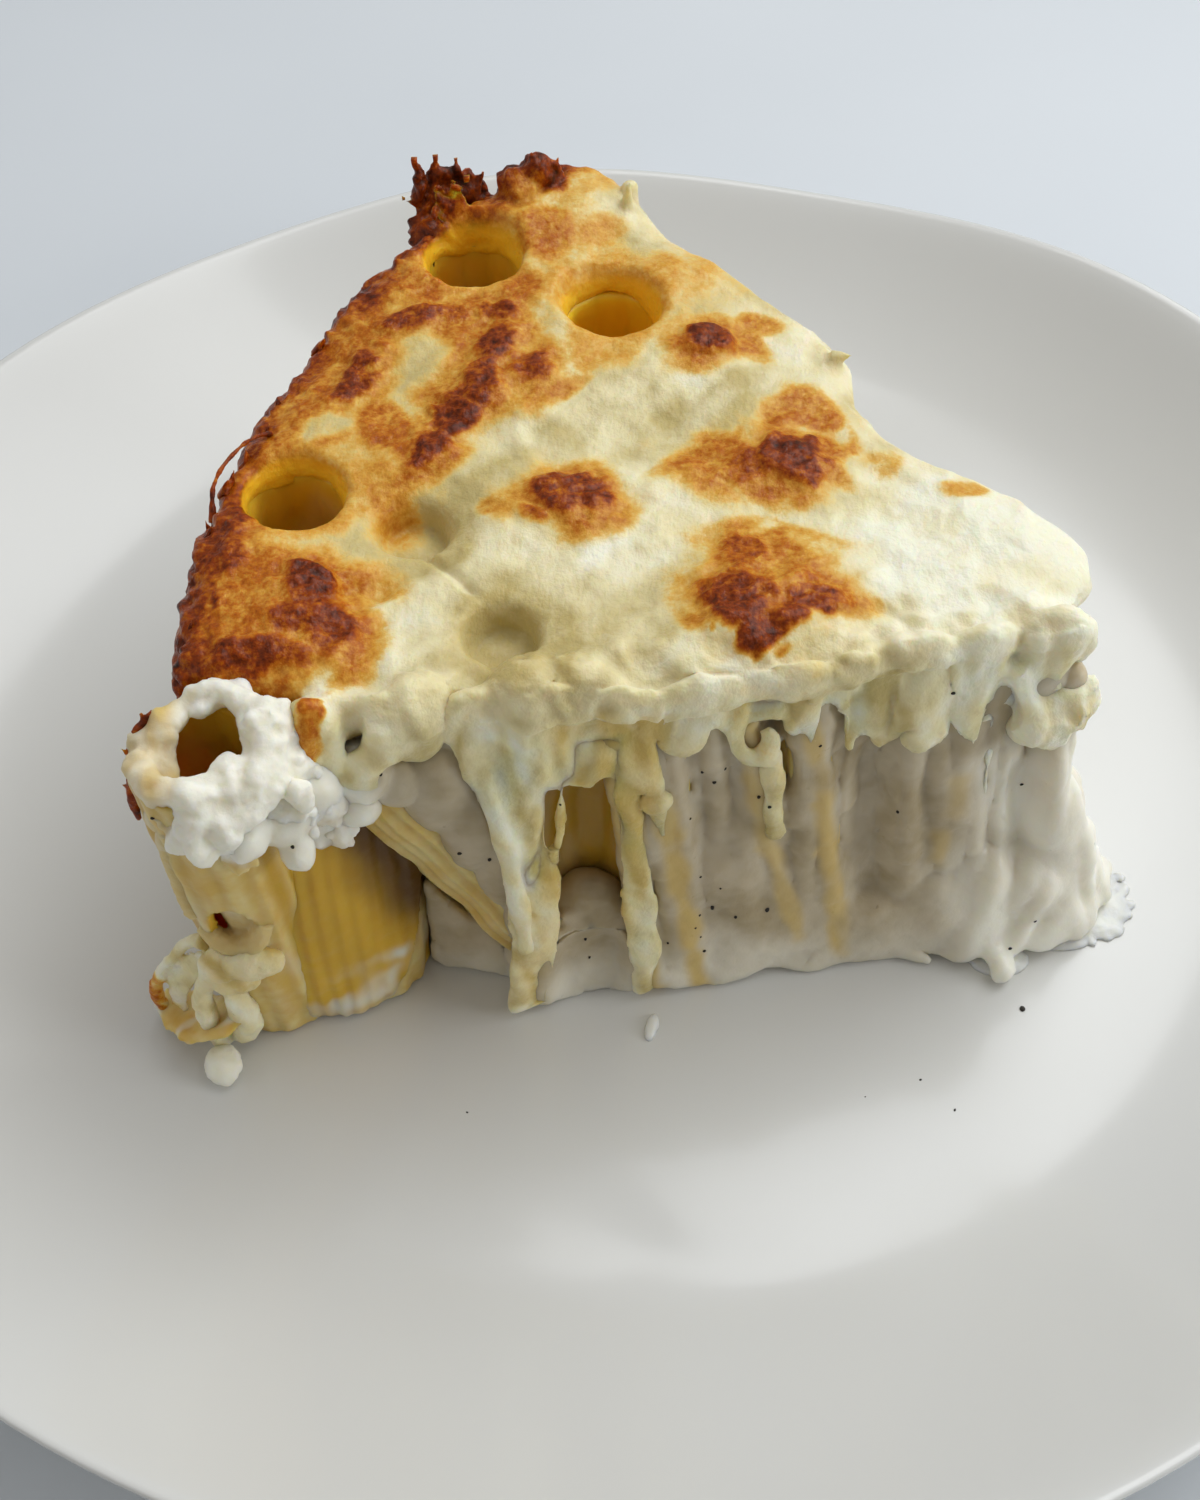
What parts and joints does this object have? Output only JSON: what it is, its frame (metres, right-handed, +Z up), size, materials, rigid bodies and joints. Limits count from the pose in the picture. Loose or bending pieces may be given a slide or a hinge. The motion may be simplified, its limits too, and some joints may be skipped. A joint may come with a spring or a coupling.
{
  "type": "rigatoni pie slice on a plate",
  "caption": "Slice of baked rigatoni pie on a round plate: upright pasta tubes bound in white ricotta sauce under a browned sheet of melted cheese.",
  "frame": {"origin": "on the table under the middle of the plate, at the bottom of its foot ring", "axes": "+Z up; +X runs from the slice's pan side towards its tip; -Y is the side of the cut that shows, where the eater sits"},
  "size_m": [0.255, 0.248, 0.0764],
  "materials": {
    "glaze_white": "gloss",
    "pasta": "satin",
    "ricotta": "satin",
    "cheese_crust": "satin"
  },
  "bodies": {
    "root": {"plate": "glaze_white", "filling": "ricotta", "cheese_top": "cheese_crust", "torn_rigatoni": "pasta", "ricotta_crumb": "ricotta", "rigatoni_front_1": "pasta", "rigatoni_front_2": "pasta", "rigatoni_front_3": "pasta", "rigatoni_front_4": "pasta", "rigatoni_front_5": "pasta", "rigatoni_front_6": "pasta", "rigatoni_front_7": "pasta", "rigatoni_rim_1": "pasta", "rigatoni_rim_2": "pasta", "rigatoni_rim_3": "pasta", "rigatoni_rim_4": "pasta", "rigatoni_rim_5": "pasta", "rigatoni_rim_6": "pasta", "rigatoni_back_1": "pasta", "rigatoni_back_2": "pasta", "rigatoni_back_3": "pasta", "rigatoni_back_4": "pasta"}
  },
  "joints": []
}
